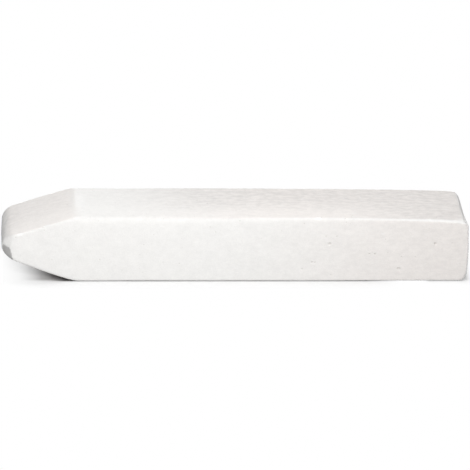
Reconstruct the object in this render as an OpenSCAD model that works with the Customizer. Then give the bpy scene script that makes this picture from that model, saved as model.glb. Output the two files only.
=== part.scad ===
// Square stick of chalk, lying on its flat underside, with a worn chisel point
// at its nose (-X) and a plain square butt (+X).
// X runs along the stick, Y across it, Z up. The origin is at the middle of
// the footprint, on the surface that the stick lies on.

/* [Stick] */
// Overall length, from the nose to the butt
stick_length = 78.6; // [60:0.1:110]
// Width across the stick, from side to side
stick_width = 12; // [8:0.1:20]
// Height of the stick, from the underside to the top
stick_height = 12; // [10:0.1:20]
// Radius worn on the two upper long edges
upper_edge_radius = 1; // [0.2:0.05:2]
// Radius on the two lower long edges
lower_edge_radius = 0.5; // [0.2:0.05:2]

/* [Chisel point] */
// Length of the bevel on the top, from the nose
upper_bevel_length = 12.3; // [6:0.1:20]
// Length of the bevel on the underside, from the nose
lower_bevel_length = 12.5; // [6:0.1:20]
// Height of the nose, between the two bevels
nose_height = 3.7; // [2:0.1:5]
// Height of the nose's lower edge above the underside
nose_level = 4.6; // [1.5:0.1:5]
// Radius that rounds the nose off, seen from the side
nose_radius = 2.2; // [0.4:0.1:3]
// Radius of the nose's two upright corners, seen from above
nose_corner_radius = 1.5; // [0.3:0.1:3]

/* [Butt] */
// How much lower the top lies at the butt, where it is rubbed down
butt_drop = 0.45; // [0.1:0.05:1]
// Length of top, back from the butt, that slopes down to it
rubbed_length = 36; // [10:1:40]
// Height of the upright part of the butt's face
butt_upright = 6; // [3:0.1:8]
// How far the butt's face leans back above that
butt_lean = 0.8; // [0.1:0.05:1.5]
// Radius of the butt's upper edge
butt_upper_radius = 0.5; // [0.2:0.05:2]
// Radius of the butt's lower edge
butt_lower_radius = 1.3; // [0.2:0.05:2.5]
// Radius of the butt's two upright corners
butt_corner_radius = 0.5; // [0.2:0.05:2]

/* [Broken corner] */
// Length of the break along the front side, from the nose
break_along = 2; // [1:0.1:5]
// Width of the break across the nose, from the front side
break_across = 1.6; // [1:0.1:4]
// Height of the break up the nose's front corner
break_up = 4.6; // [1:0.1:6]

/* [Hidden] */
$fn = 96;
chalk_white = [0.94, 0.93, 0.92];

half_length = stick_length / 2;
half_width = stick_width / 2;
upper_crease_x = upper_bevel_length - half_length;
lower_crease_x = lower_bevel_length - half_length;
upper_fall = stick_height - nose_level - nose_height;
upper_angle = atan2(upper_fall, upper_bevel_length);
lower_angle = atan2(nose_level, lower_bevel_length);

// The nose's two rounds share its height, so together they stay inside it
nose_reach = tan(45 - upper_angle / 2) + tan(45 - lower_angle / 2);
nose_round = min(nose_radius, 0.95 * nose_height / nose_reach);

// What is worn off an edge is cut from a length that reaches past the stick
spare = 2;
cut_length = 3 * stick_length;
// A round stands this little proud of the flats it joins, so that it meets
// each of them in a clean line
proud = 0.002;

// Side view with sharp corners, from the nose's lower edge along the underside
side_outline = [
    [-half_length, nose_level],
    [lower_crease_x, 0],
    [half_length, 0],
    [half_length, butt_upright],
    [half_length - butt_lean, stick_height - butt_drop],
    [half_length - rubbed_length, stick_height],
    [upper_crease_x, stick_height],
    [-half_length, nose_level + nose_height]
];
side_radii = [nose_round, 0, butt_lower_radius, 0, butt_upper_radius, 0, 0, nose_round];

plan_outline = [
    [-half_length, -half_width],
    [half_length, -half_width],
    [half_length, half_width],
    [-half_length, half_width]
];
plan_radii = [nose_corner_radius, butt_corner_radius, butt_corner_radius, nose_corner_radius];

// End view of the stick or of a bevelled stretch, with its lower edges first
function end_outline(bottom, top) = [
    [-half_width, bottom],
    [half_width, bottom],
    [half_width, top],
    [-half_width, top]
];

function unit(v) = v / norm(v);
function before(points, i) = points[(i + len(points) - 1) % len(points)];
function after(points, i) = points[(i + 1) % len(points)];
// Half of the angle inside corner p, whose neighbours are a and b
function half_angle(a, p, b) = acos(unit(a - p) * unit(b - p)) / 2;
// Where a round of radius r at corner p starts, on the side towards a
function round_start(a, p, b, r) = p + unit(a - p) * r / tan(half_angle(a, p, b));
function round_centre(a, p, b, r) =
    p + unit(unit(a - p) + unit(b - p)) * r / sin(half_angle(a, p, b));

// What a round of radius r takes off corner p, out to well beyond the corner
module corner_waste(a, p, b, r) {
    centre = round_centre(a, p, b, r);
    difference() {
        polygon([
            for (q = [centre, round_start(a, p, b, r), p, round_start(b, p, a, r)])
                centre + 2 * (q - centre)
        ]);
        translate(centre)
            circle(r = r + proud);
    }
}

// The same for a whole outline, with a radius for each corner; 0 stays sharp
module outline_waste(points, radii) {
    for (i = [0 : len(points) - 1])
        if (radii[i] > 0)
            corner_waste(before(points, i), points[i], after(points, i), radii[i]);
}

// The stick with every edge sharp
module sharp_stick() {
    rotate([90, 0, 0])
        linear_extrude(height = stick_width, center = true)
            polygon(side_outline);
}

// What is worn off the long edges of a stretch of stick that lies along X
module long_edge_waste(bottom, top, bottom_radius, top_radius) {
    rotate([90, 0, 90])
        linear_extrude(height = cut_length, center = true)
            outline_waste(
                end_outline(bottom, top),
                [bottom_radius, bottom_radius, top_radius, top_radius]
            );
}

// Each module from here to the stick takes its children and cuts one set of
// edges from them

// Rounds the edges that run across the stick, at the nose and the butt
module round_cross_edges() {
    difference() {
        children();
        rotate([90, 0, 0])
            linear_extrude(height = stick_width + 2 * spare, center = true)
                outline_waste(side_outline, side_radii);
    }
}

module round_long_edges() {
    difference() {
        children();
        long_edge_waste(0, stick_height, lower_edge_radius, upper_edge_radius);
    }
}

module round_upper_bevel() {
    difference() {
        children();
        translate([upper_crease_x, 0, stick_height])
            rotate([0, -upper_angle, 0])
                long_edge_waste(-stick_height, 0, 0, upper_edge_radius);
    }
}

module round_lower_bevel() {
    difference() {
        children();
        translate([lower_crease_x, 0, 0])
            rotate([0, lower_angle, 0])
                long_edge_waste(0, stick_height, lower_edge_radius, 0);
    }
}

// Rounds the upright corners of the nose and the butt
module round_upright_edges() {
    difference() {
        children();
        translate([0, 0, -spare])
            linear_extrude(height = stick_height + 2 * spare)
                outline_waste(plan_outline, plan_radii);
    }
}

// Breaks the nose's lower front corner off, along the plane through three
// points, one on each edge of that corner
module break_corner() {
    corner = [-half_length, -half_width, nose_level];
    along = [break_along, 0, 0];
    across = [0, break_across, 0];
    up = [0, 0, break_up];
    outward = -unit(cross(across - along, up - along));
    size = 4 * max(break_along, break_across, break_up);
    difference() {
        children();
        translate(corner + along)
            rotate([0, acos(outward[2]), atan2(outward[1], outward[0])])
                translate([-size / 2, -size / 2, 0])
                    cube(size);
    }
}

module chalk_stick() {
    color(chalk_white)
        break_corner()
            round_upright_edges()
                round_lower_bevel()
                    round_upper_bevel()
                        round_long_edges()
                            round_cross_edges()
                                sharp_stick();
}

chalk_stick();
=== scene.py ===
"""Looks of a worn square stick of chalk with a chisel point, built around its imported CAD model."""
import math
import random

import bmesh
import bpy
from mathutils import Matrix, Vector, kdtree, noise


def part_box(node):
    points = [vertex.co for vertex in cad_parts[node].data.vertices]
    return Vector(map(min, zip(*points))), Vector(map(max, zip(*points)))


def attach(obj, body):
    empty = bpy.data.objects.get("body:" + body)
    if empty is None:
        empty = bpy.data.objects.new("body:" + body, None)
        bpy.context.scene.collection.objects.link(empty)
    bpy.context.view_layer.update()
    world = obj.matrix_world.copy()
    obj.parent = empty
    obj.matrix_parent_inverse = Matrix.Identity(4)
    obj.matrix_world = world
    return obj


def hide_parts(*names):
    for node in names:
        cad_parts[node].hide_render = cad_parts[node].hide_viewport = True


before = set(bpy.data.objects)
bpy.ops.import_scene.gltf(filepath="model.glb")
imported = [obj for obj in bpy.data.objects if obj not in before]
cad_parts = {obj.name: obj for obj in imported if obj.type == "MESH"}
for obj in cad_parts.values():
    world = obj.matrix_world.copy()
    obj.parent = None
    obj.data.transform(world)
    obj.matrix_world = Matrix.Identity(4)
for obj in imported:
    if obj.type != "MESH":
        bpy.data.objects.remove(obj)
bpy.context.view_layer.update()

MM = 0.001

# X runs from the nose to the butt, Y from the front side to the back, Z up from the bench
LOW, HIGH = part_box("chalk_stick")

# ---------------------------------------------------------------- the stick's flats
UPPER_BEVEL_LENGTH = 12.3 * MM
LOWER_BEVEL_LENGTH = 12.5 * MM
NOSE_LEVEL = 4.6 * MM
NOSE_HEIGHT = 3.7 * MM
BUTT_UPRIGHT = 7.5 * MM
BUTT_LEAN = 0.8 * MM
SPARE = 2.0 * MM

NOSE_FOOT = Vector((LOW.x, 0, LOW.z + NOSE_LEVEL))
NOSE_HEAD = NOSE_FOOT + Vector((0, 0, NOSE_HEIGHT))
UPPER_CREASE = Vector((LOW.x + UPPER_BEVEL_LENGTH, 0, HIGH.z))
LOWER_CREASE = Vector((LOW.x + LOWER_BEVEL_LENGTH, 0, LOW.z))
BUTT_BEND = Vector((HIGH.x, 0, LOW.z + BUTT_UPRIGHT))
BUTT_HEAD = Vector((HIGH.x - BUTT_LEAN, 0, HIGH.z))


def outward(start, end):
    """Normal of the flat that runs from start to end, going clockwise round the side view."""
    run = (end - start).normalized()
    return Vector((-run.z, 0, run.x))


# each flat: a point on it and the way it faces
FLATS = {
    "front": (LOW, Vector((0, -1, 0))),
    "back": (HIGH, Vector((0, 1, 0))),
    "top": (HIGH, Vector((0, 0, 1))),
    "underside": (LOW, Vector((0, 0, -1))),
    "nose": (LOW, Vector((-1, 0, 0))),
    "butt": (HIGH, Vector((1, 0, 0))),
    "upper bevel": (NOSE_HEAD, outward(NOSE_HEAD, UPPER_CREASE)),
    "lower bevel": (LOWER_CREASE, outward(LOWER_CREASE, NOSE_FOOT)),
    "leaning butt": (BUTT_BEND, outward(BUTT_HEAD, BUTT_BEND)),
}

# the radius that the mould and wear have left where two flats meet
ROUNDS = {
    ("front", "top"): 0.6 * MM,
    ("back", "top"): 0.95 * MM,
    ("front", "underside"): 0.4 * MM,
    ("back", "underside"): 0.4 * MM,
    ("front", "upper bevel"): 0.35 * MM,
    ("back", "upper bevel"): 0.5 * MM,
    ("front", "lower bevel"): 0.3 * MM,
    ("back", "lower bevel"): 0.4 * MM,
    ("nose", "upper bevel"): 2.5 * MM,
    ("lower bevel", "nose"): 2.1 * MM,
    ("front", "nose"): 1.5 * MM,
    ("back", "nose"): 1.8 * MM,
    ("top", "upper bevel"): 2.0 * MM,
    ("lower bevel", "underside"): 4.0 * MM,
    ("leaning butt", "top"): 0.65 * MM,
    ("butt", "underside"): 1.8 * MM,
    ("butt", "front"): 0.3 * MM,
    ("back", "butt"): 1.1 * MM,
    ("front", "leaning butt"): 0.3 * MM,
    ("back", "leaning butt"): 1.1 * MM,
    ("butt", "leaning butt"): 30.0 * MM,
}
ROUND_SEGMENTS = 8

# the corner broken off the nose: how far the break reaches along, across and up from where it was
BREAK_ALONG = 1.8 * MM
BREAK_ACROSS = 1.6 * MM
BREAK_UP = 6.2 * MM
BREAK_REACH = 4.5 * MM
BREAK_POINT = Vector((LOW.x + BREAK_ALONG, LOW.y, LOW.z + NOSE_LEVEL))
BREAK_FACING = Vector((-1 / BREAK_ALONG, -1 / BREAK_ACROSS, -1 / BREAK_UP)).normalized()

# the flat worn on the nose's front corner above the break: a point on it and the way it faces
CORNER_POINT = Vector((LOW.x + 1.95 * MM, LOW.y, LOW.z + NOSE_LEVEL + NOSE_HEIGHT))
CORNER_FACING = Vector((-0.62, -0.77, 0.18)).normalized()

# the strip worn along the butt's upper edge: the way it faces, and how deep it is cut at the back
STRIP_FACING = Vector((0.82, 0.0, 0.57)).normalized()
STRIP_DEPTH = 0.19 * MM

# the size of the net's squares, and how often and how strongly it is relaxed
SKIN_VOXEL = 0.235 * MM
RELAX_PASSES = 4
RELAX_FACTOR = 0.5

# points nearer than this are one
MERGE_DISTANCE = 0.001 * MM


# ---------------------------------------------------------------- mesh helpers
def new_object(name, bm):
    mesh = bpy.data.meshes.new(name)
    bm.to_mesh(mesh)
    bm.free()
    obj = bpy.data.objects.new(name, mesh)
    bpy.context.scene.collection.objects.link(obj)
    return obj


def apply_modifiers(obj):
    """Puts what the modifiers make of obj in place of its mesh."""
    depsgraph = bpy.context.evaluated_depsgraph_get()
    finished = bpy.data.meshes.new_from_object(obj.evaluated_get(depsgraph))
    obj.modifiers.clear()
    rough = obj.data
    obj.data = finished
    bpy.data.meshes.remove(rough)
    finished.name = obj.name


def slice_off(bm, point, facing):
    """Cuts away what lies outside the plane through point, and closes the cut."""
    geometry = bm.verts[:] + bm.edges[:] + bm.faces[:]
    bmesh.ops.bisect_plane(bm, geom=geometry, plane_co=point, plane_no=facing, clear_outer=True)
    rim = [edge for edge in bm.edges if edge.is_boundary]
    bmesh.ops.edgeloop_fill(bm, edges=rim)


def ramp(value, start, end):
    """0 at start, 1 at end, with a gentle run between."""
    share = min(max((value - start) / (end - start), 0.0), 1.0)
    return share * share * (3 - 2 * share)


def tree_of(bm):
    """Finds the points of bm near a place."""
    tree = kdtree.KDTree(len(bm.verts))
    for index, vert in enumerate(bm.verts):
        tree.insert(vert.co, index)
    tree.balance()
    bm.verts.ensure_lookup_table()
    return tree


# ---------------------------------------------------------------- the block
def sharp_stick():
    """The stick with every edge sharp, cut from an oversize block."""
    bm = bmesh.new()
    bmesh.ops.create_cube(bm, size=1.0)
    bmesh.ops.scale(bm, vec=HIGH - LOW + Vector((SPARE, SPARE, SPARE)), verts=bm.verts)
    bmesh.ops.translate(bm, vec=(LOW + HIGH) / 2, verts=bm.verts)
    for point, facing in FLATS.values():
        slice_off(bm, point, facing)
    bmesh.ops.remove_doubles(bm, verts=bm.verts, dist=MERGE_DISTANCE)
    bmesh.ops.recalc_face_normals(bm, faces=bm.faces)
    return bm


def flat_of(face):
    """Name of the flat that a face lies on."""
    return max(FLATS, key=lambda name: face.normal.dot(FLATS[name][1]))


def mark_rounds(bm):
    """Gives each edge the share of a 1 mm bevel that leaves its own radius."""
    weight = bm.edges.layers.float.new("bevel_weight_edge")
    for edge in bm.edges:
        pair = tuple(sorted(flat_of(face) for face in edge.link_faces))
        set_back = ROUNDS[pair] * math.tan(edge.calc_face_angle() / 2)
        edge[weight] = set_back / MM


def round_edges(obj):
    bevel = obj.modifiers.new("rounds", "BEVEL")
    bevel.limit_method = "WEIGHT"
    bevel.offset_type = "OFFSET"
    bevel.width = 1.0 * MM
    bevel.segments = ROUND_SEGMENTS
    bevel.profile = 0.5
    bevel.use_clamp_overlap = False
    apply_modifiers(obj)


def cut_wear(obj):
    """Cuts the flats worn at the nose's front corner and the butt's upper edge, and the break."""
    bm = bmesh.new()
    bm.from_mesh(obj.data)
    slice_off(bm, CORNER_POINT, CORNER_FACING)
    edge = max((vert.co for vert in bm.verts), key=lambda place: place.dot(STRIP_FACING))
    slice_off(bm, edge - STRIP_FACING * STRIP_DEPTH, STRIP_FACING)
    slice_off(bm, BREAK_POINT, BREAK_FACING)
    bm.to_mesh(obj.data)
    bm.free()


def skin(obj, form):
    """Covers obj with an even net of small squares that lies on form."""
    remesh = obj.modifiers.new("net", "REMESH")
    remesh.mode = "VOXEL"
    remesh.voxel_size = SKIN_VOXEL
    relax = obj.modifiers.new("relax", "SMOOTH")
    relax.factor = RELAX_FACTOR
    relax.iterations = RELAX_PASSES
    settle = obj.modifiers.new("settle", "SHRINKWRAP")
    settle.target = form
    settle.wrap_method = "NEAREST_SURFACEPOINT"
    apply_modifiers(obj)


# ---------------------------------------------------------------- rubbing
# how far each pass moves a point towards the middle of its neighbours
RUB_FACTOR = 0.5

RIDGE_PASSES = 26
RIDGE_REACH = 2.6 * MM
# where the rubbed stretch of the front ridge starts and ends, at the first pass and at the last
RIDGE_STARTS = (UPPER_CREASE.x - 1.5 * MM, UPPER_CREASE.x + 1.5 * MM)
RIDGE_ENDS = (20.0 * MM, -2.0 * MM)

FOOT_PASSES = 10
# how far up the butt's front corner is rubbed round, and how far off it, at the first pass and at the last
FOOT_HEIGHTS = (5.5 * MM, 1.5 * MM)
FOOT_REACHES = (1.2 * MM, 0.6 * MM)

# the far upper corner of the butt is rubbed round too
FAR_CORNER = Vector((HIGH.x - BUTT_LEAN, HIGH.y, HIGH.z))
FAR_PASSES = 14
FAR_REACHES = (2.6 * MM, 1.2 * MM)

# how close to the plane of a cut flat its rim is rubbed, and how often
RIM_DEPTH = 0.35 * MM
BREAK_PASSES = 3
CORNER_PASSES = 8
CORNER_REACH = 3.6 * MM

# how far the top has fallen at the butt: everywhere, more along the front, and at the very end,
# and how suddenly each of these sets in
TOP_FALL, TOP_FALL_POWER = 0.30 * MM, 1.5
FRONT_FALL, FRONT_FALL_POWER = 0.30 * MM, 3
END_FALL, END_FALL_POWER = 0.25 * MM, 14

# how full the lower bevel is left, and how deep under it that reaches
LOWER_CROWN = 0.17 * MM
LOWER_CROWN_DEPTH = 2.0 * MM

# how the upper bevel and the nose below it are worn
NOSE_FALL = 0.42 * MM
NOSE_FALL_FRONT = 0.4  # the share of the fall that the front side has
BEVEL_ROLL = 0.16 * MM
BEVEL_ROLL_WIDTH = 3.0 * MM
BEVEL_ROLL_END = (0.68, 0.88)
NOSE_LEAN = 0.05 * MM
NOSE_LEAN_LENGTH = 3.0 * MM
NOSE_FLAT = 0.09 * MM
NOSE_TURN = 0.22 * MM
NOSE_TURN_SPAN = (0, 5 * MM)

# the butt leans back less at its front corner than elsewhere
BUTT_TWIST = 0.45 * MM
BUTT_TWIST_WIDTH = 5.5 * MM
BUTT_TWIST_ALONG = (HIGH.x - 2.5 * MM, HIGH.x - 0.8 * MM)
BUTT_TWIST_HEIGHTS = (6.0 * MM, 12.5 * MM)
BUTT_NOTCH_HEIGHTS = (11.2 * MM, 10.8 * MM)


def off_edge(vert, **edge):
    """Distance of a point from the straight edge that is given by two of its coordinates."""
    return math.dist([getattr(vert.co, axis) for axis in edge], list(edge.values()))


def part_way(pair, share):
    return pair[0] + (pair[1] - pair[0]) * share


def rub(bm, near, passes, inside):
    """Smooths, at each pass, the points of near that are inside for its share of the passes."""
    for step in range(passes):
        share = step / (passes - 1)
        rubbed = [vert for vert in near if inside(vert, share)]
        bmesh.ops.smooth_vert(
            bm, verts=rubbed, factor=RUB_FACTOR, use_axis_x=True, use_axis_y=True, use_axis_z=True
        )


def soften_ridge(bm):
    """Rubs the front upper ridge round, more and more towards the nose."""
    near = [vert for vert in bm.verts if off_edge(vert, y=LOW.y, z=HIGH.z) < RIDGE_REACH]

    def inside(vert, share):
        return part_way(RIDGE_STARTS, share) < vert.co.x < part_way(RIDGE_ENDS, share)

    rub(bm, near, RIDGE_PASSES, inside)


def soften_foot(bm):
    """Rubs the foot of the butt's front corner round, more and more towards the bench."""
    near = [vert for vert in bm.verts if off_edge(vert, x=HIGH.x, y=LOW.y) < FOOT_REACHES[0]]

    def inside(vert, share):
        off = off_edge(vert, x=HIGH.x, y=LOW.y)
        return off < part_way(FOOT_REACHES, share) and vert.co.z < part_way(FOOT_HEIGHTS, share)

    rub(bm, near, FOOT_PASSES, inside)


def soften_far_corner(bm):
    near = [vert for vert in bm.verts if (vert.co - FAR_CORNER).length < FAR_REACHES[0]]

    def inside(vert, share):
        return (vert.co - FAR_CORNER).length < part_way(FAR_REACHES, share)

    rub(bm, near, FAR_PASSES, inside)


def soften_rim(bm, point, facing, reach, passes):
    """Takes the knife edge off the rim of a flat that was cut off the nose."""
    near = [vert for vert in bm.verts if (vert.co - point).length < reach]
    rim = [vert for vert in near if abs((vert.co - point).dot(facing)) < RIM_DEPTH]
    rub(bm, rim, passes, lambda vert, share: True)


def rub_top_down(bm):
    """Lets the top fall away towards the butt, most of all along the front."""
    for vert in bm.verts:
        along = max(vert.co.x / HIGH.x, 0.0)
        front = (HIGH.y - vert.co.y) / (HIGH.y - LOW.y)
        height = (vert.co.z - LOW.z) / (HIGH.z - LOW.z)
        fall = TOP_FALL * along ** TOP_FALL_POWER
        fall += FRONT_FALL * front * along ** FRONT_FALL_POWER
        fall += END_FALL * along ** END_FALL_POWER
        vert.co.z -= fall * height


def crown_lower_bevel(bm):
    """Leaves the lower bevel slightly full, most of all two thirds of the way from the nose."""
    facing = FLATS["lower bevel"][1]
    for vert in bm.verts:
        along = (vert.co.x - LOW.x) / LOWER_BEVEL_LENGTH
        if not 0 < along < 1:
            continue
        depth = (LOWER_CREASE - vert.co).dot(facing)
        near = 1 - ramp(depth, 0, LOWER_CROWN_DEPTH)
        vert.co += facing * LOWER_CROWN * near * math.sin(math.pi * along ** 2)


def rub_upper_bevel(bm):
    """Wears the upper bevel down towards the nose and rolls it over to the front."""
    for vert in bm.verts:
        along = (UPPER_CREASE.x - vert.co.x) / UPPER_BEVEL_LENGTH
        if not 0 < along:
            continue
        back = (vert.co.y - LOW.y) / (HIGH.y - LOW.y)
        height = ramp(vert.co.z, NOSE_FOOT.z, NOSE_HEAD.z)
        fall = NOSE_FALL * (NOSE_FALL_FRONT + (1 - NOSE_FALL_FRONT) * back) * along ** 2
        edge = max(1 - (vert.co.y - LOW.y) / BEVEL_ROLL_WIDTH, 0.0)
        roll = BEVEL_ROLL * edge ** 2 * min(2 * along, 1.0) * (1 - ramp(along, *BEVEL_ROLL_END))
        vert.co.z -= (fall + roll) * height
        vert.co.x += NOSE_LEAN * height * max(1 - (vert.co.x - LOW.x) / NOSE_LEAN_LENGTH, 0.0)
        flat = part_way((NOSE_FLAT * height, NOSE_TURN), ramp(vert.co.y, *NOSE_TURN_SPAN))
        vert.co.x = max(vert.co.x, LOW.x + flat)


def twist_butt(bm):
    """Turns the butt out at the front corner, up to a notch at the very top."""
    for vert in bm.verts:
        near_front = max(1 - (vert.co.y - LOW.y) / BUTT_TWIST_WIDTH, 0.0) ** 2
        end = ramp(vert.co.x, *BUTT_TWIST_ALONG)
        height = ramp(vert.co.z, *BUTT_TWIST_HEIGHTS) * ramp(vert.co.z, *BUTT_NOTCH_HEIGHTS)
        vert.co.x += BUTT_TWIST * near_front * end * height


# ---------------------------------------------------------------- wear
SWELL_LENGTH, SWELL_DEPTH = 9.0 * MM, 0.05 * MM
SWELL_BIAS = 0.3
RIPPLE_LENGTH, RIPPLE_DEPTH = 2.2 * MM, 0.016 * MM
GRAIN_LENGTH, GRAIN_DEPTH = 0.55 * MM, 0.012 * MM
NICK_LENGTH, NICK_DEPTH = 1.6 * MM, 0.20 * MM
NICK_UPWARD = (-0.6, 0.2)
BREAK_LENGTH, BREAK_DEPTH = 1.1 * MM, 0.10 * MM
# how nearly a point has to face the way the break does, to be on it
BREAK_LIKENESS = (0.93, 0.98)


def edge_share(normal):
    """0 on a flat, 1 on the middle of a square edge."""
    flatness = max(normal.dot(facing) for _, facing in FLATS.values())
    return min((1.0 - flatness) / (1.0 - math.sqrt(0.5)), 1.0)


def break_share(vert):
    """1 on the broken corner, 0 off it."""
    near = (vert.co - BREAK_POINT).length < BREAK_REACH
    return ramp(vert.normal.dot(BREAK_FACING), *BREAK_LIKENESS) if near else 0.0


def unevenness(vert):
    """How deep the worn skin lies under the true form."""
    place = vert.co
    swell = SWELL_DEPTH * max(noise.noise(place / SWELL_LENGTH) + SWELL_BIAS, 0.0)
    ripple = RIPPLE_DEPTH * noise.noise(place / RIPPLE_LENGTH)
    grain = GRAIN_DEPTH * noise.noise(place / GRAIN_LENGTH)
    worn_edge = edge_share(vert.normal) * ramp(vert.normal.z, *NICK_UPWARD)
    nick = NICK_DEPTH * worn_edge * max(noise.noise(place / NICK_LENGTH), 0.0)
    rough = BREAK_DEPTH * break_share(vert) * noise.noise(place / BREAK_LENGTH)
    return swell + ripple + grain + nick + rough


def wear(bm):
    bm.normal_update()
    depths = [unevenness(vert) for vert in bm.verts]
    for vert, depth in zip(bm.verts, depths):
        vert.co -= vert.normal * depth


# ---------------------------------------------------------------- handling, wear and painted shade
# how nearly a point faces up, from a side to the top
UPWARD = (0.5, 0.9)

# how greyed each part is: at its cleanest, and what is added towards its back or its ends
TOP_GRIME, TOP_BACK_GRIME, TOP_BUTT_GRIME = 0.18, 0.40, 0.41
SIDE_GRIME, SIDE_BUTT_GRIME = 0.06, 0.18
BEVEL_GRIME, BEVEL_BACK_GRIME, BEVEL_NOSE_GRIME = 0.03, 0.19, 0.12
# painted shade: how dark the nose's end and the butt's upper edge are painted
NOSE_SHADE_PAINT = 0.32
BUTT_EDGE_SHADE_PAINT = 0.5

# where the grime and the painted shade set in, and where each is at its full strength
GRIMY_BACK = (-5.5 * MM, 1.5 * MM)
GRIMY_BUTT_END = (15 * MM, 34 * MM)
GRIMY_TOP = (-28 * MM, 0)
GRIMY_SIDE = (-15 * MM, 38 * MM)
GRIMY_BEVEL = (LOW.x + 5 * MM, LOW.x + 1.5 * MM)
SHADED_NOSE = (-LOW.x - 3 * MM, -LOW.x)
SHADED_BUTT_EDGE = (HIGH.x - 1.5 * MM, HIGH.x - 0.6 * MM)

# how nearly a point faces the nose's end or the butt's end, to take the painted shade of that end
NOSEWARD = (0.5, 0.9)
BUTTWARD = (0.06, 0.4)

# how far either side of the crease the top's grime gives way to the upper bevel's
GRIME_CREASE = 0.6 * MM

# the painted warm tint of shade: where it sets in and where it is full, how warm the upper bevel is,
# and how far either side of the crease that changes
WARM_SIDE = (-5 * MM, 38 * MM)
WARM_TOP = (-26 * MM, 10 * MM)
WARM_BEVEL = 0.8
WARM_CREASE = 1.5 * MM

# where the front ridge is rubbed clean, and where it is rubbed cleaner still
CLEAN_RIDGE = (-8 * MM, 14 * MM)
CLEANER_RIDGE, CLEANER_RIDGE_SHARE = (26 * MM, 36 * MM), 0.9

# the clean line at the upper bevel's crease: its shift, its widths on either side, its patches
CREASE_SHIFT = 0.3 * MM
CREASE_WIDTH_AFTER, CREASE_WIDTH_BEFORE = 2.2 * MM, 0.4 * MM
CREASE_LEVEL, CREASE_PATCHES = 0.38, 0.4
CREASE_PATCH_LENGTH = 2.5 * MM

# the butt's near upper corner, rubbed clean and with a painted highlight where it faces up
CORNER_WEAR_AND_HIGHLIGHT = Vector((38.3, -6.0, 10.9)) * MM
CORNER_WEAR_AND_HIGHLIGHT_REACH = (2.2 * MM, 0.8 * MM)
CORNER_WEAR_AND_HIGHLIGHT_UPWARD = (0.12, 0.4)


def grime_and_shade_of(vert):
    """How greyed a point is, from 0 to 1: by handling, and by painted shade on the ends."""
    place, facing = vert.co, vert.normal
    back = ramp(place.y, *GRIMY_BACK)
    butt_end = ramp(place.x, *GRIMY_BUTT_END)
    along_top = ramp(place.x, *GRIMY_TOP)
    top = along_top * (TOP_GRIME + TOP_BACK_GRIME * back * (1 - butt_end) + TOP_BUTT_GRIME * butt_end)
    side = SIDE_GRIME + SIDE_BUTT_GRIME * ramp(place.x, *GRIMY_SIDE)
    bevel = BEVEL_GRIME + BEVEL_BACK_GRIME * back + BEVEL_NOSE_GRIME * ramp(place.x, *GRIMY_BEVEL)
    upward = ramp(facing.z, *UPWARD)
    on_bevel = ramp(place.x, UPPER_CREASE.x + GRIME_CREASE, UPPER_CREASE.x - GRIME_CREASE)
    above = top + (bevel - top) * on_bevel
    # painted shade on the nose's end and along the butt's upper edge
    nose = NOSE_SHADE_PAINT * ramp(-facing.x, *NOSEWARD) * ramp(-place.x, *SHADED_NOSE)
    butt = BUTT_EDGE_SHADE_PAINT * ramp(facing.x, *BUTTWARD) * ramp(place.x, *SHADED_BUTT_EDGE)
    return side + (above - side) * upward + nose + butt


def shade_warmth_of(vert):
    """How far a point takes the painted warm tint of shade, from 0 to 1."""
    place, facing = vert.co, vert.normal
    side = ramp(place.x, *WARM_SIDE)
    top = ramp(place.x, *WARM_TOP)
    upward = ramp(facing.z, *UPWARD)
    on_bevel = ramp(place.x, UPPER_CREASE.x + WARM_CREASE, UPPER_CREASE.x - WARM_CREASE)
    above = top + (WARM_BEVEL - top) * on_bevel
    return side + (above - side) * upward


def clean_crease(vert):
    """How clean the line at the upper bevel's crease is, in patches."""
    off_crease = vert.co.x - UPPER_CREASE.x - CREASE_SHIFT
    width = CREASE_WIDTH_AFTER if off_crease > 0 else CREASE_WIDTH_BEFORE
    patchy = CREASE_LEVEL + CREASE_PATCHES * noise.noise(vert.co / CREASE_PATCH_LENGTH)
    return patchy * math.exp(-(off_crease / width) ** 2) * ramp(vert.normal.z, *UPWARD)


def fresh_and_highlight_of(vert):
    """How far a point is rubbed back to clean chalk, from 0 to 1; one corner has a painted highlight."""
    along = ramp(vert.co.x, *CLEAN_RIDGE) + CLEANER_RIDGE_SHARE * ramp(vert.co.x, *CLEANER_RIDGE)
    ridge = edge_share(vert.normal) * along
    # wear and a painted highlight on the butt's near upper corner, where it faces up
    corner = ramp((vert.co - CORNER_WEAR_AND_HIGHLIGHT).length, *CORNER_WEAR_AND_HIGHLIGHT_REACH)
    corner *= ramp(vert.normal.z, *CORNER_WEAR_AND_HIGHLIGHT_UPWARD)
    return min(max(ridge, corner, clean_crease(vert)), 1.0)


def mark_wear_and_painted_light(bm):
    """Notes on each point what its colour depends on."""
    layers = bm.verts.layers.float
    bm.normal_update()
    for vert in bm.verts:
        vert[layers["grime_and_shade"]] = grime_and_shade_of(vert)
        vert[layers["shade_warmth"]] = shade_warmth_of(vert)
        vert[layers["broken"]] = break_share(vert)
        vert[layers["fresh_and_highlight"]] = fresh_and_highlight_of(vert)


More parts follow.
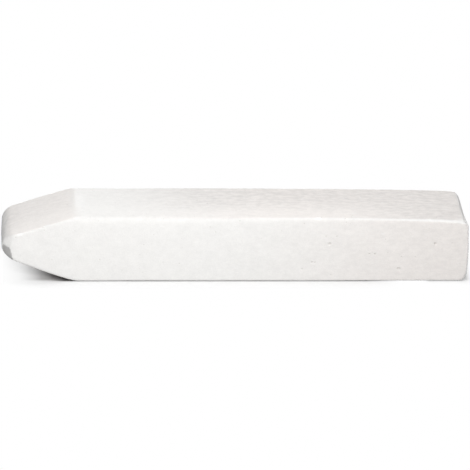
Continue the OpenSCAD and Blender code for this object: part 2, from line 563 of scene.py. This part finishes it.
# ---------------------------------------------------------------- chips and pores
# chips off the edges: place in mm from the middle of the foot, reach and depth
CHIPS = [
    (-36.0, -5.8, 8.5, 0.85, 0.10), (-34.3, -5.9, 9.5, 0.80, 0.07), (-31.8, -5.9, 10.5, 0.90, 0.06),
    (38.7, -6.0, 10.7, 0.60, 0.10), (37.9, -6.0, 10.9, 0.75, 0.10), (36.9, -6.0, 11.3, 0.70, 0.06),
    (35.9, -6.0, 11.6, 0.90, 0.05), (32.3, -6.0, 11.7, 1.40, 0.06), (28.4, -6.0, 11.8, 1.20, 0.05),
    (18.8, -6.0, 11.9, 0.90, 0.04), (13.5, -6.0, 11.9, 1.10, 0.05),
    (-8.0, 5.9, 0.1, 1.00, 0.22), (24.0, 5.9, 0.2, 1.40, 0.25), (39.2, 5.8, 0.6, 1.10, 0.30),
    (39.2, 5.6, 6.5, 0.90, 0.18), (39.2, 0.6, 0.3, 1.10, 0.22), (-38.6, 4.6, 4.4, 1.20, 0.28),
    (-30.5, 5.9, 10.6, 1.00, 0.10), (-33.5, 5.8, 2.6, 1.00, 0.20),
]

# the larger pores of the front side: place along and up in mm from the middle of the foot, and width
FRONT_PORES = [
    (33.4, 7.15, 0.64), (15.7, 7.05, 0.62), (15.0, 8.6, 0.28), (16.8, 8.6, 0.30),
    (12.9, 3.7, 0.42), (13.2, 3.6, 0.34), (23.4, 5.2, 0.44), (22.5, 5.2, 0.38),
    (27.7, 2.45, 0.52), (27.4, 2.5, 0.46), (25.5, 5.5, 0.24), (11.2, 2.4, 0.32),
    (30.2, 4.6, 0.24), (36.2, 7.2, 0.24), (16.1, 1.2, 0.26), (-4.5, 10.2, 0.22),
    (-3.7, 9.2, 0.24), (-15.7, 6.9, 0.22), (-9.6, 3.5, 0.24), (-12.4, 3.7, 0.20),
]
CHIP_RAGGED, CHIP_RAGGED_LENGTH = 0.5, 0.35 * MM
CHIP_FRESH_SHARE = 0.5  # the share of a chip's depth at which it shows clean chalk

PORE_DEPTH_SHARE = 0.28
PORE_RAGGED = 0.35
PORE_BOWL = (0.3, 1.2)  # the radii at which a pore's bowl is at its floor and at its rim
PORE_NET_REACH = 0.9
SPOT_CUTS = 2
STRAY_PORES = 70
STRAY_WIDTHS = (0.14, 0.28)
PORE_SEED = 7


def settle_on(bm, spots):
    """The spots with their places moved onto the nearest points of bm."""
    tree = tree_of(bm)
    return [(tree.find(spot[0])[0], *spot[1:]) for spot in spots]


def refine(bm, spots, cuts):
    """Divides the net finely round each spot, given as its place and reach."""
    tree = tree_of(bm)
    near = {index for place, reach in spots for _, index, _ in tree.find_range(place, reach)}
    edges = {edge for index in near for face in bm.verts[index].link_faces for edge in face.edges}
    bmesh.ops.subdivide_edges(bm, edges=list(edges), cuts=cuts, use_grid_fill=True)
    between = [vert for vert in bm.verts if len(vert.link_edges) == 2]
    bmesh.ops.dissolve_verts(bm, verts=between)
    bm.normal_update()


def chip(bm, tree, place, reach, depth):
    """Scoops a rough shallow flake off the edge at place, deepest in its middle."""
    fresh_and_highlight = bm.verts.layers.float["fresh_and_highlight"]
    found = tree.find_range(place, reach)
    facing = sum((bm.verts[index].normal for _, index, _ in found), Vector()).normalized()
    peak = max(co.dot(facing) for co, _, _ in found)
    for co, index, distance in found:
        ragged = 1 + CHIP_RAGGED * noise.noise(co / CHIP_RAGGED_LENGTH)
        level = peak - depth * (1 - (distance / reach) ** 2) * ragged
        over = co.dot(facing) - level
        if over > 0:
            vert = bm.verts[index]
            vert.co -= facing * over
            vert[fresh_and_highlight] = max(vert[fresh_and_highlight], min(over / (CHIP_FRESH_SHARE * depth), 1.0))


def chip_edges(bm):
    """Takes the chips off the edges."""
    spots = [(Vector((x, y, z)) * MM, reach * MM, depth * MM) for x, y, z, reach, depth in CHIPS]
    spots = settle_on(bm, spots)
    refine(bm, [(place, reach) for place, reach, _ in spots], cuts=SPOT_CUTS)
    tree = tree_of(bm)
    for place, reach, depth in spots:
        chip(bm, tree, place, reach, depth)


def front_pores(bm):
    """The larger pores of the front side, each with its place and width."""
    spots = [(Vector((x * MM, LOW.y, z * MM)), width * MM) for x, z, width in FRONT_PORES]
    return settle_on(bm, spots)


def stray_pores(bm):
    """Pores strewn at random over every side."""
    rng = random.Random(PORE_SEED)
    bm.verts.ensure_lookup_table()
    chosen = rng.sample(range(len(bm.verts)), STRAY_PORES)
    return [(bm.verts[index].co.copy(), rng.uniform(*STRAY_WIDTHS) * MM) for index in chosen]


def press_pores(bm, pores):
    """Presses a ragged bowl in at each pore and stains it with dirt and painted shade."""
    pit = bm.verts.layers.float["pit"]
    refine(bm, [(place, PORE_NET_REACH * width) for place, width in pores], cuts=SPOT_CUTS)
    tree = tree_of(bm)
    presses = {}
    for place, width in pores:
        for co, index, distance in tree.find_range(place, width):
            ragged = 0.5 * width * (1 + PORE_RAGGED * noise.noise(co / (0.5 * width)))
            share = 1 - ramp(distance, PORE_BOWL[0] * ragged, PORE_BOWL[1] * ragged)
            depth = PORE_DEPTH_SHARE * width * share
            presses[index] = max(presses.get(index, (0, 0)), (depth, share))
    for index, (depth, share) in presses.items():
        vert = bm.verts[index]
        vert.co -= vert.normal * depth
        vert[pit] = share


# ---------------------------------------------------------------- the piece
def keep_in_box(bm):
    for vert in bm.verts:
        for axis in range(3):
            vert.co[axis] = min(max(vert.co[axis], LOW[axis]), HIGH[axis])


def split_wide_faces(bm):
    """Splits each face of more than four sides into even triangles, to leave no slivers."""
    wide = [face for face in bm.faces if len(face.verts) > 4]
    bmesh.ops.triangulate(bm, faces=wide, quad_method="BEAUTY", ngon_method="BEAUTY")


def make_stick():
    block = sharp_stick()
    mark_rounds(block)
    form = new_object("form", block)
    round_edges(form)
    cut_wear(form)
    stick = new_object("chalk", bmesh.new())
    stick.data = form.data.copy()
    skin(stick, form)
    bpy.data.objects.remove(form)

    bm = bmesh.new()
    bm.from_mesh(stick.data)
    for name in ("grime_and_shade", "shade_warmth", "fresh_and_highlight", "broken", "pit"):
        bm.verts.layers.float.new(name)
    mark_wear_and_painted_light(bm)
    soften_ridge(bm)
    soften_foot(bm)
    soften_far_corner(bm)
    soften_rim(bm, CORNER_POINT, CORNER_FACING, CORNER_REACH, CORNER_PASSES)
    soften_rim(bm, BREAK_POINT, BREAK_FACING, BREAK_REACH, BREAK_PASSES)
    rub_top_down(bm)
    crown_lower_bevel(bm)
    rub_upper_bevel(bm)
    twist_butt(bm)
    wear(bm)
    chip_edges(bm)
    press_pores(bm, front_pores(bm) + stray_pores(bm))
    split_wide_faces(bm)
    keep_in_box(bm)
    bm.to_mesh(stick.data)
    bm.free()
    stick.data.shade_smooth()
    return stick


# ---------------------------------------------------------------- material
CLEAN_WHITE = (0.884, 0.876, 0.861, 1)
GREY_WHITE = (0.681, 0.674, 0.663, 1)
FRESH_AND_HIGHLIGHT_WHITE = (0.925, 0.920, 0.910, 1)
# the warm tint that shade takes, painted into the colour
SHADE_WARM_TINT = (1.03, 1.0, 0.988, 1)
# painted shade on the broken corner of the nose
BREAK_SHADE_PAINT = (0.485, 0.478, 0.472, 1)
# dirt and painted shade in the pores and pinholes
PIT_DIRT_AND_SHADE = (0.58, 0.55, 0.52, 1)

GRAIN_SIZE = 0.22 * MM
LUMP_SIZE = 0.7 * MM
MOTTLE_SIZE = 2.2 * MM
FLECK_SIZE, FLECK_STRETCH = 0.4 * MM, 3
STREAK_SIZE, STREAK_STRETCH = 0.62 * MM, 2.3
HOLE_SPACING = 1.0 * MM
WANDER_LENGTHS = (9 * MM, 6 * MM, 6 * MM)
WANDER_SHIFT = (0, 2 * MM, 1.5 * MM)
BUMP_STRENGTH, BUMP_HEIGHT = 0.35, 0.04 * MM


def add_node(tree, kind, **settings):
    node = tree.nodes.new(kind)
    for name, value in settings.items():
        setattr(node, name, value)
    return node


def feed(tree, socket, value):
    """Links an output to socket, or sets the socket to a plain value."""
    if isinstance(value, bpy.types.NodeSocket):
        tree.links.new(value, socket)
    else:
        socket.default_value = value


def remap(tree, value, low, high, start=0.0, end=1.0):
    """The output that runs from start to end as value runs from low to high."""
    node = add_node(tree, "ShaderNodeMapRange")
    names = ("Value", "From Min", "From Max", "To Min", "To Max")
    for name, amount in zip(names, (value, low, high, start, end)):
        feed(tree, node.inputs[name], amount)
    return node.outputs["Result"]


def combine(tree, operation, first, second):
    node = add_node(tree, "ShaderNodeMath", operation=operation)
    feed(tree, node.inputs[0], first)
    feed(tree, node.inputs[1], second)
    return node.outputs["Value"]


def vector_math(tree, operation, first, second=(0, 0, 0)):
    node = add_node(tree, "ShaderNodeVectorMath", operation=operation)
    feed(tree, node.inputs[0], first)
    feed(tree, node.inputs[1], second)
    return node.outputs["Value" if operation == "LENGTH" else "Vector"]


def blend(tree, share, first, second, kind="MIX"):
    node = add_node(tree, "ShaderNodeMix", data_type="RGBA", blend_type=kind)
    feed(tree, node.inputs["Factor"], share)
    feed(tree, node.inputs[6], first)
    feed(tree, node.inputs[7], second)
    return node.outputs[2]


def noise_of(tree, coords, size, detail=3.0, drawn_out=1.0):
    """Soft noise from 0 to 1 with lumps of about size, drawn out along X."""
    lumps = vector_math(tree, "DIVIDE", coords, (size * drawn_out, size, size))
    node = add_node(tree, "ShaderNodeTexNoise")
    node.inputs["Scale"].default_value = 1.0
    node.inputs["Detail"].default_value = detail
    tree.links.new(lumps, node.inputs["Vector"])
    return node.outputs["Fac"]


def wavy(tree, coords):
    """Coordinates whose lines along X wander from side to side."""
    wander = add_node(tree, "ShaderNodeTexNoise")
    wander.inputs["Scale"].default_value = 1.0
    wander.inputs["Detail"].default_value = 1.0
    lumps = vector_math(tree, "DIVIDE", coords, WANDER_LENGTHS)
    tree.links.new(lumps, wander.inputs["Vector"])
    about_zero = vector_math(tree, "SUBTRACT", wander.outputs["Color"], (0.5, 0.5, 0.5))
    shift = vector_math(tree, "MULTIPLY", about_zero, WANDER_SHIFT)
    return vector_math(tree, "ADD", coords, shift)


def pinholes(tree, coords):
    """1 in the middle of tiny scattered holes, 0 between them."""
    cells = add_node(tree, "ShaderNodeTexVoronoi")
    cells.inputs["Scale"].default_value = 1.0
    spacing = (HOLE_SPACING, HOLE_SPACING, HOLE_SPACING)
    tree.links.new(vector_math(tree, "DIVIDE", coords, spacing), cells.inputs["Vector"])
    middle = remap(tree, cells.outputs["Distance"], 0.05, 0.12, 1.0, 0.0)
    picked = add_node(tree, "ShaderNodeSeparateColor")
    tree.links.new(cells.outputs["Color"], picked.inputs["Color"])
    return combine(tree, "MULTIPLY", middle, remap(tree, picked.outputs["Red"], 0.55, 0.75))


def attribute(tree, name):
    return add_node(tree, "ShaderNodeAttribute", attribute_name=name).outputs["Fac"]


def chalk_material():
    material = bpy.data.materials.new("white_chalk")
    material.use_nodes = True
    tree = material.node_tree
    shader = tree.nodes["Principled BSDF"]
    coords = add_node(tree, "ShaderNodeTexCoord").outputs["Object"]
    grain = noise_of(tree, coords, GRAIN_SIZE, detail=2.0)
    mottle = noise_of(tree, coords, MOTTLE_SIZE)
    streaks = noise_of(tree, wavy(tree, coords), STREAK_SIZE, drawn_out=STREAK_STRETCH)
    holes = pinholes(tree, coords)

    # handling greys the stick in streaks that run along it, and rubs some of them off again
    # the same greying carries the painted shade on the nose's end and the butt's upper edge
    grime_and_shade = combine(tree, "MULTIPLY", attribute(tree, "grime_and_shade"), remap(tree, streaks, 0.3, 0.7, 0.5, 1.5))
    color = blend(tree, grime_and_shade, CLEAN_WHITE, GREY_WHITE)
    # painted warm tint of shade, towards the butt and on the upper bevel
    color = blend(tree, attribute(tree, "shade_warmth"), color, blend(tree, 1.0, color, SHADE_WARM_TINT, "MULTIPLY"))

    specks = noise_of(tree, coords, FLECK_SIZE, drawn_out=FLECK_STRETCH)
    flecks = remap(tree, specks, 0.62, 0.74, 0.0, 0.5)
    color = blend(tree, flecks, color, FRESH_AND_HIGHLIGHT_WHITE)
    # clean chalk on worn edges, with a painted highlight on the butt's near upper corner
    worn_and_highlight = remap(tree, attribute(tree, "fresh_and_highlight"), 0.15, 0.8, 0.0, 0.9)
    color = blend(tree, worn_and_highlight, color, FRESH_AND_HIGHLIGHT_WHITE)
    # painted shade on the broken corner of the nose
    broken = combine(tree, "MULTIPLY", attribute(tree, "broken"), remap(tree, mottle, 0.35, 0.65, 0.8, 1.0))
    color = blend(tree, broken, color, BREAK_SHADE_PAINT)

    fine = remap(tree, grain, 0.25, 0.75, 0.975, 1.025)
    lumpy = remap(tree, noise_of(tree, coords, LUMP_SIZE, detail=1.0), 0.3, 0.7, 0.986, 1.014)
    coarse = remap(tree, mottle, 0.25, 0.75, 0.984, 1.016)
    shades = combine(tree, "MULTIPLY", combine(tree, "MULTIPLY", fine, lumpy), coarse)
    color = blend(tree, 1.0, color, shades, "MULTIPLY")
    # dirt and painted shade in the pores and the pinholes
    pits = remap(tree, attribute(tree, "pit"), 0.1, 0.9, 0.0, 0.5)
    pit_dirt_and_shade = combine(tree, "MAXIMUM", pits, combine(tree, "MULTIPLY", holes, 0.25))
    color = blend(tree, pit_dirt_and_shade, color, PIT_DIRT_AND_SHADE)
    tree.links.new(color, shader.inputs["Base Color"])

    tree.links.new(remap(tree, grain, 0.3, 0.7, 0.86, 0.98), shader.inputs["Roughness"])
    shader.inputs["Specular IOR Level"].default_value = 0.25
    shader.inputs["Diffuse Roughness"].default_value = 0.3

    height = combine(tree, "SUBTRACT", grain, holes)
    bump = add_node(tree, "ShaderNodeBump")
    bump.inputs["Strength"].default_value = BUMP_STRENGTH
    bump.inputs["Distance"].default_value = BUMP_HEIGHT
    tree.links.new(height, bump.inputs["Height"])
    tree.links.new(bump.outputs["Normal"], shader.inputs["Normal"])
    return material


stick = make_stick()
stick.data.materials.append(chalk_material())
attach(stick, "root")
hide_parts("chalk_stick")


# ---------------------------------------------------------------- camera
CAMERA_AZIMUTH = math.radians(-5.05)
CAMERA_ELEVATION = math.radians(26.28)
CAMERA_ROLL = math.radians(2.27)
CAMERA_DISTANCE = 613.0 * MM
CAMERA_TARGET = Vector((0.19, 0.0, 5.78)) * MM
FRAME_WIDTH = 79.43 * MM  # what the frame takes in, at the target's distance
SENSOR_WIDTH = 36.0
CLIP_START, CLIP_END = 0.01, 10.0


def add_camera():
    data = bpy.data.cameras.new("camera")
    data.sensor_width = SENSOR_WIDTH
    data.lens = data.sensor_width * CAMERA_DISTANCE / FRAME_WIDTH
    camera = bpy.data.objects.new("camera", data)
    bpy.context.scene.collection.objects.link(camera)
    flat = math.cos(CAMERA_ELEVATION)
    back = Vector((
        math.sin(CAMERA_AZIMUTH) * flat,
        -math.cos(CAMERA_AZIMUTH) * flat,
        math.sin(CAMERA_ELEVATION),
    ))
    camera.location = CAMERA_TARGET + back * CAMERA_DISTANCE
    turn = (-back).to_track_quat("-Z", "Y").to_matrix() @ Matrix.Rotation(CAMERA_ROLL, 3, "Z")
    camera.rotation_euler = turn.to_euler()
    data.clip_start = CLIP_START
    data.clip_end = CLIP_END
    bpy.context.scene.camera = camera


# ---------------------------------------------------------------- floor and light
FLOOR_SIZE = 2.0
WHITE = (1, 1, 1, 1)
FLOOR_BOUNCE = (0.35, 0.35, 0.35, 1)
# painted shade: the paper's colour under the nose and in the gap along the foot
WEDGE_SHADE_PAINT = (0.365, 0.352, 0.347, 1)
GAP_SHADE_PAINT = (0.11, 0.105, 0.103, 1)
ROOM_LEVEL = 0.2
# painted shade: the paper is painted darker for the camera under the nose, in a wedge, and in the
# gap along the foot: from where each starts to where it is full
WEDGE_ALONG = (LOW.x + 3.0 * MM, LOW.x + 6.8 * MM)
WEDGE_ACROSS = (HIGH.y - 0.1 * MM, HIGH.y - 0.9 * MM)
GAP_ALONG = (LOWER_CREASE.x - 4.2 * MM, LOWER_CREASE.x - 1.8 * MM)
GAP_BUTT = (HIGH.x - 0.2 * MM, HIGH.x - 0.9 * MM)
GAP_ACROSS = (HIGH.y - 0.05 * MM, HIGH.y - 0.35 * MM)

# where the floor keeps its shade, in X and in Y: for each side the ends of a fade from none of
# the shade to all of it. First in front of the stick and under it, then behind it
NEAR_SHADE = (
    (LOWER_CREASE.x - 12.5 * MM, LOWER_CREASE.x - 4 * MM, 28 * MM, 22 * MM),
    (LOW.y - 2.5 * MM, LOW.y, 13 * MM, 6 * MM),
)
BACK_SHADE = (
    (-41 * MM, -27 * MM, 39.6 * MM, 34 * MM),
    (4.0 * MM, 6.5 * MM, 28 * MM, 14 * MM),
)
# and close round the butt's foot: inside these two corners and a little way outside them
FOOT_SHADE_LOW = Vector((33.0 * MM, LOW.y, -1.0))
FOOT_SHADE_HIGH = Vector((HIGH.x, HIGH.y, 1.0))
FOOT_SHADE_SPREAD = 1.8 * MM
FOOT_SHADE_POWER = 3.0
FOOT_SHADE_AWAY = 0.45  # how far from kept the shade is at the foot itself


def camera_sees(tree):
    """1 for rays that reach the camera straight, by a mirror or through glass, 0 for others."""
    path = add_node(tree, "ShaderNodeLightPath")
    seen = combine(tree, "MAXIMUM", path.outputs["Is Camera Ray"], path.outputs["Is Glossy Ray"])
    return combine(tree, "MAXIMUM", seen, path.outputs["Is Transmission Ray"])


def outside_shade(tree, place, shade):
    """0 where the floor keeps all of a shade, rising to 1 past the ends of its fades."""
    axes = add_node(tree, "ShaderNodeSeparateXYZ")
    tree.links.new(place, axes.inputs["Vector"])
    beyond = add_node(tree, "ShaderNodeCombineXYZ")
    for axis, (low_end, low_start, high_end, high_start) in zip("XY", shade):
        low = remap(tree, axes.outputs[axis], low_start, low_end)
        high = remap(tree, axes.outputs[axis], high_start, high_end)
        tree.links.new(combine(tree, "MAXIMUM", low, high), beyond.inputs[axis])
    return remap(tree, vector_math(tree, "LENGTH", beyond.outputs["Vector"]), 0.0, 1.0)


def outside_foot(tree, place):
    """Rises from about half at the butt's foot to 1, fast at first."""
    middle = (FOOT_SHADE_LOW + FOOT_SHADE_HIGH) / 2
    half_size = (FOOT_SHADE_HIGH - FOOT_SHADE_LOW) / 2
    from_middle = vector_math(tree, "SUBTRACT", place, middle)
    off_middle = vector_math(tree, "ABSOLUTE", from_middle)
    beyond = vector_math(tree, "SUBTRACT", off_middle, half_size)
    distance = vector_math(tree, "LENGTH", vector_math(tree, "MAXIMUM", beyond))
    closeness = remap(tree, distance, FOOT_SHADE_SPREAD, 0.0)
    near = combine(tree, "POWER", closeness, FOOT_SHADE_POWER)
    return remap(tree, near, 0.0, 1.0, 1.0, FOOT_SHADE_AWAY)


def paper_with_painted_shade(tree, place):
    """White paper with painted shade: a dark wedge under the nose and a dark gap along the foot."""
    axes = add_node(tree, "ShaderNodeSeparateXYZ")
    tree.links.new(place, axes.inputs["Vector"])
    off_middle = combine(tree, "ABSOLUTE", axes.outputs["Y"], 0.0)
    behind_nose = remap(tree, axes.outputs["X"], *WEDGE_ALONG)
    under_nose = remap(tree, off_middle, *WEDGE_ACROSS)
    along_foot = remap(tree, axes.outputs["X"], *GAP_ALONG)
    under_foot = remap(tree, off_middle, *GAP_ACROSS)
    # painted shade on the paper, in the wedge under the nose and the gap along the foot
    wedge = combine(tree, "MULTIPLY", behind_nose, under_nose)
    before_butt = remap(tree, axes.outputs["X"], *GAP_BUTT)
    gap = combine(tree, "MULTIPLY", combine(tree, "MULTIPLY", along_foot, before_butt), under_foot)
    return blend(tree, gap, blend(tree, wedge, WHITE, WEDGE_SHADE_PAINT), GAP_SHADE_PAINT)


def floor_material():
    """White paper that keeps the shadow beside the stick and is plain white away from it."""
    material = bpy.data.materials.new("white_floor")
    material.use_nodes = True
    tree = material.node_tree
    tree.nodes.clear()
    link = tree.links.new
    seen = camera_sees(tree)

    place = add_node(tree, "ShaderNodeTexCoord").outputs["Object"]
    paper = add_node(tree, "ShaderNodeBsdfDiffuse")
    link(blend(tree, seen, FLOOR_BOUNCE, paper_with_painted_shade(tree, place)), paper.inputs["Color"])

    near = outside_shade(tree, place, NEAR_SHADE)
    back = outside_shade(tree, place, BACK_SHADE)
    away = combine(tree, "MINIMUM", combine(tree, "MINIMUM", near, back), outside_foot(tree, place))
    white = add_node(tree, "ShaderNodeEmission")
    mix = add_node(tree, "ShaderNodeMixShader")
    link(combine(tree, "MULTIPLY", away, seen), mix.inputs["Fac"])
    link(paper.outputs["BSDF"], mix.inputs[1])
    link(white.outputs["Emission"], mix.inputs[2])
    surface = add_node(tree, "ShaderNodeOutputMaterial")
    link(mix.outputs["Shader"], surface.inputs["Surface"])
    return material


def add_floor():
    bm = bmesh.new()
    bmesh.ops.create_grid(bm, x_segments=1, y_segments=1, size=FLOOR_SIZE)
    bmesh.ops.translate(bm, vec=(0, 0, LOW.z), verts=bm.verts)
    floor = new_object("floor", bm)
    floor.data.materials.append(floor_material())


# each lamp: its name, its place, what it points at, its width and height, and its watts
LAMPS = [
    ("key", (-0.016, -0.142, 0.103), (-0.015, 0, 0), (0.08, 0.08), 0.261),
    ("rear fill", (0.0, 0.25, 0.09), (0, 0, 0), (0.3, 0.12), 0.64),
    ("right fill", (0.22, -0.04, 0.10), (0, 0, 0), (0.12, 0.10), 0.05),
]


def add_softbox(name, place, aim, size, watts):
    data = bpy.data.lights.new(name, "AREA")
    data.shape = "RECTANGLE"
    data.size, data.size_y = size
    data.energy = watts
    lamp = bpy.data.objects.new(name, data)
    bpy.context.scene.collection.objects.link(lamp)
    lamp.location = place
    lamp.rotation_euler = (Vector(aim) - Vector(place)).to_track_quat("-Z", "Y").to_euler()


def add_room():
    """A dim even room that looks white to the camera."""
    world = bpy.data.worlds.new("room")
    bpy.context.scene.world = world
    world.use_nodes = True
    tree = world.node_tree
    background = tree.nodes["Background"]
    background.inputs["Color"].default_value = WHITE
    level = remap(tree, camera_sees(tree), 0.0, 1.0, ROOM_LEVEL, 1.0)
    tree.links.new(level, background.inputs["Strength"])


add_camera()
add_floor()
add_room()
for lamp in LAMPS:
    add_softbox(*lamp)

bpy.context.scene.view_settings.view_transform = "Standard"
